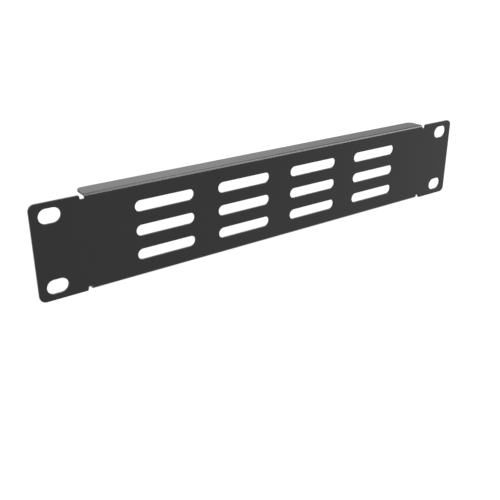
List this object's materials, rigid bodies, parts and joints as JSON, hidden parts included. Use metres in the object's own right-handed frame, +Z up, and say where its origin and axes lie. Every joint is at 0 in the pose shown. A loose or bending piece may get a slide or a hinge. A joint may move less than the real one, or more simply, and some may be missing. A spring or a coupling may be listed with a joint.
{
  "type": "rack blanking panel",
  "caption": "Folded sheet-metal cover for an empty rack bay, with slotted ears, rounded vent slots in rows, and a narrow flange along the top and bottom.",
  "frame": {"origin": "centre of the four screw slots, on the rear face of the sheet, which lies against the rack's rails", "axes": "+X along the panel, to the right for someone in front of the rack; +Y back into the rack, the way the flanges point; +Z up"},
  "size_m": [0.2534, 0.01, 0.0438],
  "materials": {
    "powder_coat": "fine satin black powder coat"
  },
  "bodies": {
    "root": {"vented_panel": "powder_coat"}
  },
  "joints": []
}
